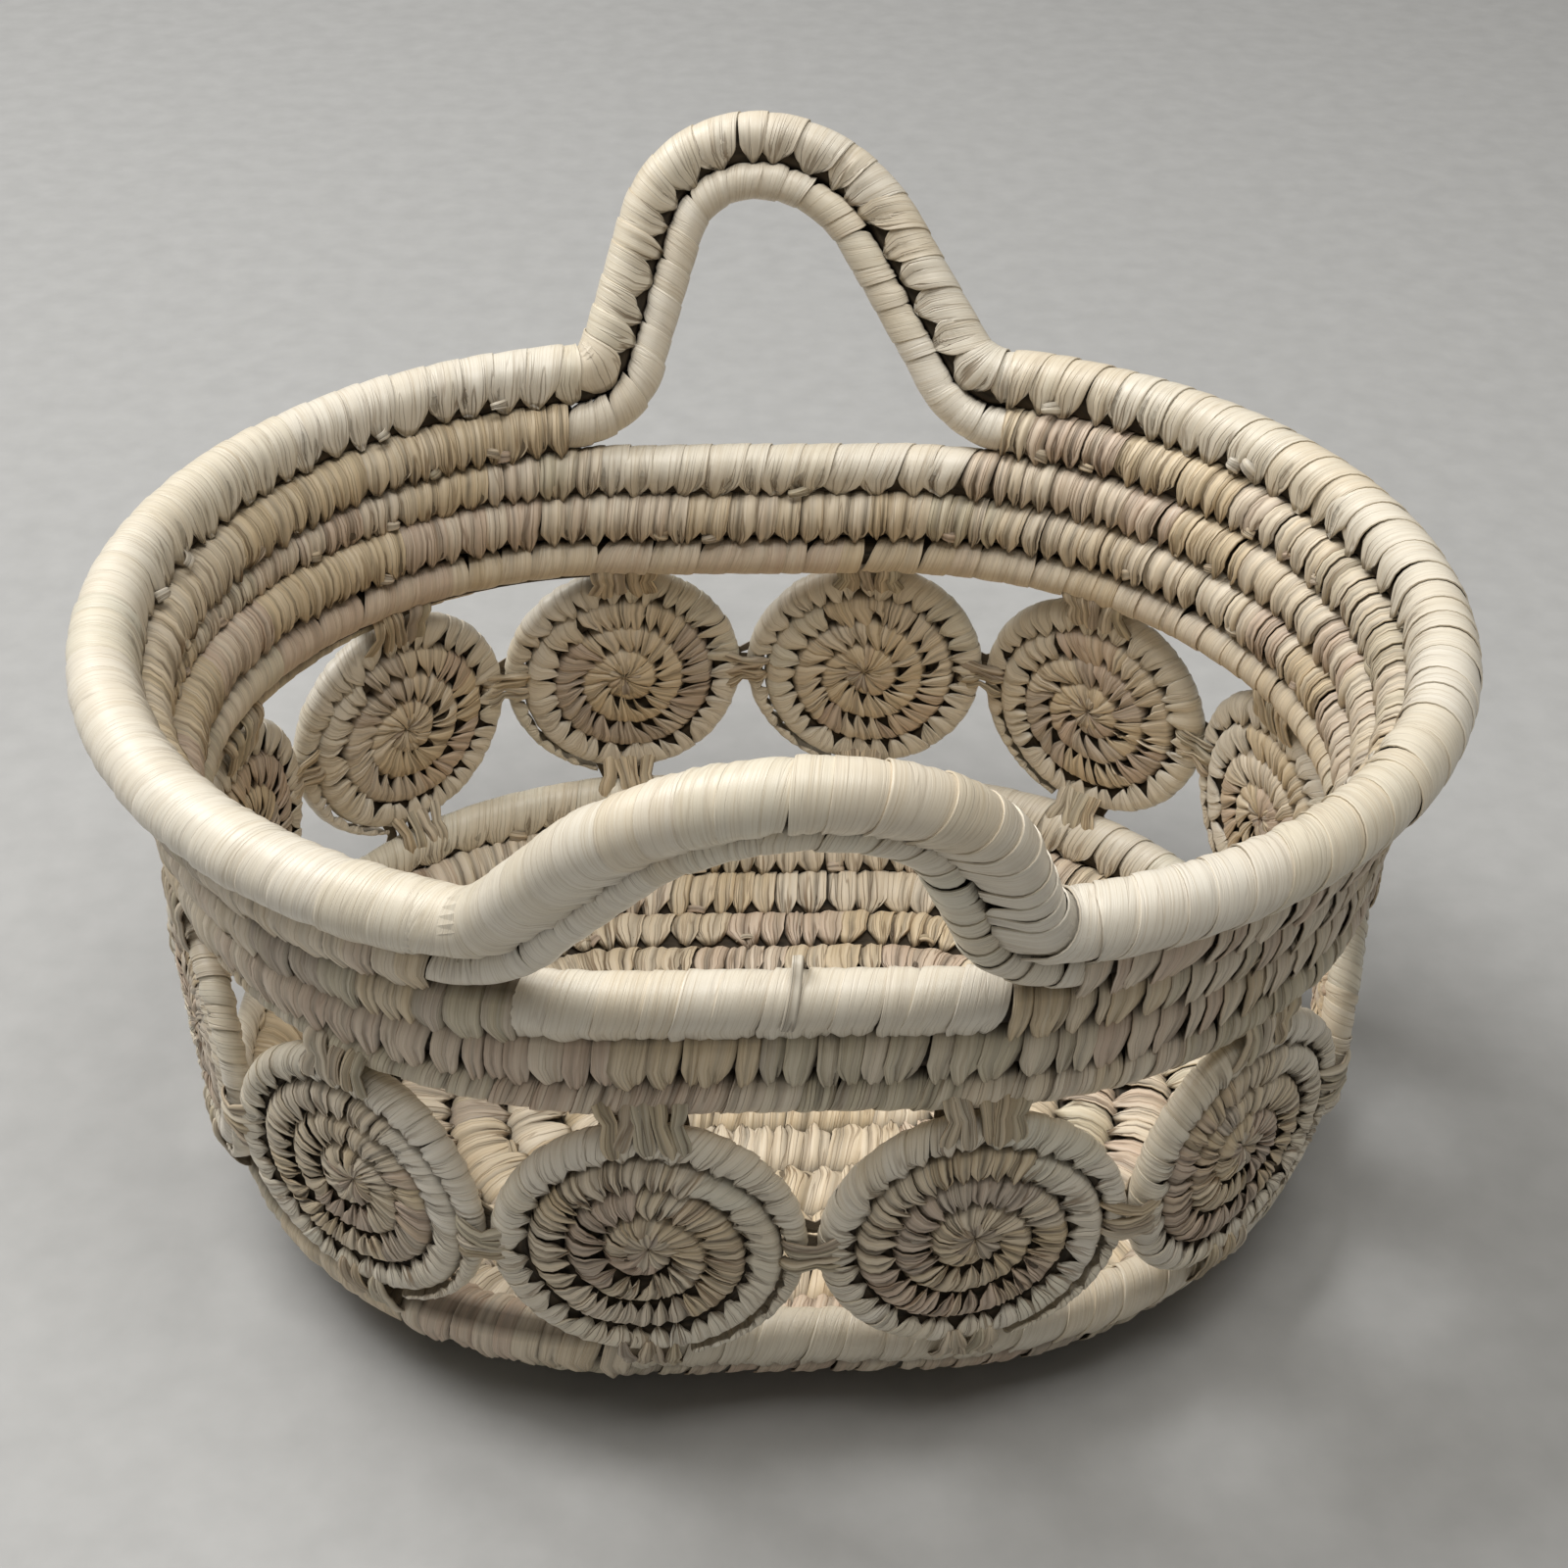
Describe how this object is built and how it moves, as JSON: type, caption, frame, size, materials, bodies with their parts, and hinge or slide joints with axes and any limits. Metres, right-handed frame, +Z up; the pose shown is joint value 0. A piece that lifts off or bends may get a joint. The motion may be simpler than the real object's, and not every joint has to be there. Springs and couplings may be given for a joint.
{
  "type": "coiled seagrass basket",
  "caption": "Oval open basket of coiled leaf: a rounded coiled base, an open wall of spiral discs lashed edge to edge, and a flared rim that rises into carrying handles on the long sides.",
  "frame": {"origin": "on the floor under the middle of the basket, at the centre of its box", "axes": "+Z up; +X along the long side of the oval; the handles stand at the front (-Y) and the rear (+Y)"},
  "size_m": [0.4131, 0.402, 0.287],
  "materials": {
    "row_leaf": "matte stitched palm leaf",
    "smooth_leaf": "satin wrapped palm leaf",
    "disc_leaf": "matte stitched palm leaf",
    "lash_leaf": "matte palm leaf strips"
  },
  "bodies": {
    "root": {"floor_coil": "row_leaf", "wall_coil": "row_leaf", "band_coil": "row_leaf", "left_second_coil": "row_leaf", "right_second_coil": "row_leaf", "disc_01": "disc_leaf", "disc_02": "disc_leaf", "disc_03": "disc_leaf", "disc_04": "disc_leaf", "disc_05": "disc_leaf", "disc_06": "disc_leaf", "disc_07": "disc_leaf", "disc_08": "disc_leaf", "disc_09": "disc_leaf", "disc_10": "disc_leaf", "disc_11": "disc_leaf", "disc_12": "disc_leaf", "left_rim_coil": "smooth_leaf", "right_rim_coil": "smooth_leaf", "front_handle_upper": "smooth_leaf", "front_handle_lower": "smooth_leaf", "rear_handle_upper": "smooth_leaf", "rear_handle_lower": "smooth_leaf", "joint_lashing_01": "lash_leaf", "joint_lashing_02": "lash_leaf", "joint_lashing_03": "lash_leaf", "joint_lashing_04": "lash_leaf", "joint_lashing_05": "lash_leaf", "joint_lashing_06": "lash_leaf", "joint_lashing_07": "lash_leaf", "joint_lashing_08": "lash_leaf", "joint_lashing_09": "lash_leaf", "joint_lashing_10": "lash_leaf", "joint_lashing_11": "lash_leaf", "joint_lashing_12": "lash_leaf", "top_lashing_01": "lash_leaf", "top_lashing_02": "lash_leaf", "top_lashing_03": "lash_leaf", "top_lashing_04": "lash_leaf", "top_lashing_05": "lash_leaf", "top_lashing_06": "lash_leaf", "top_lashing_07": "lash_leaf", "top_lashing_08": "lash_leaf", "top_lashing_09": "lash_leaf", "top_lashing_10": "lash_leaf", "top_lashing_11": "lash_leaf", "top_lashing_12": "lash_leaf", "foot_lashing_01": "lash_leaf", "foot_lashing_02": "lash_leaf", "foot_lashing_03": "lash_leaf", "foot_lashing_04": "lash_leaf", "foot_lashing_05": "lash_leaf", "foot_lashing_06": "lash_leaf", "foot_lashing_07": "lash_leaf", "foot_lashing_08": "lash_leaf", "foot_lashing_09": "lash_leaf", "foot_lashing_10": "lash_leaf", "foot_lashing_11": "lash_leaf", "foot_lashing_12": "lash_leaf"}
  },
  "joints": []
}
